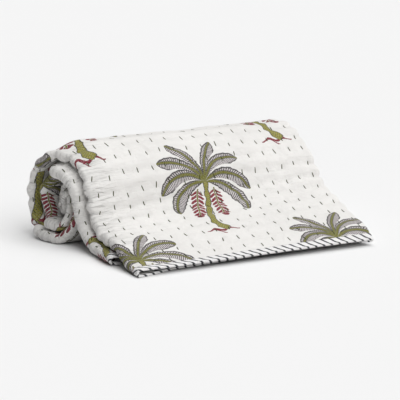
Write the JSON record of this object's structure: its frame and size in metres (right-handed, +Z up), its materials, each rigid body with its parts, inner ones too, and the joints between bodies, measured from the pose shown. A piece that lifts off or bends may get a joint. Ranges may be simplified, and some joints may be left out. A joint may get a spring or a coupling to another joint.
{
  "type": "kantha quilt",
  "caption": "Hand-stitched cotton quilt, folded lengthwise, doubled and rolled, with its bound loose end laid out in front of the roll.",
  "frame": {"origin": "middle of the bounding box, at the surface that the roll rests on", "axes": "+X along the roll, from its slipped end to its even end; -Y the way the loose end points; +Z up"},
  "size_m": [0.567, 0.4346, 0.1972],
  "materials": {
    "quilt_cotton": "white block-printed cotton, hand quilted",
    "striped_binding": "white cotton with charcoal bias stripes"
  },
  "bodies": {
    "root": {"quilt_cloth": "quilt_cotton", "front_hem_binding": "striped_binding", "back_hem_binding": "striped_binding"}
  },
  "joints": []
}
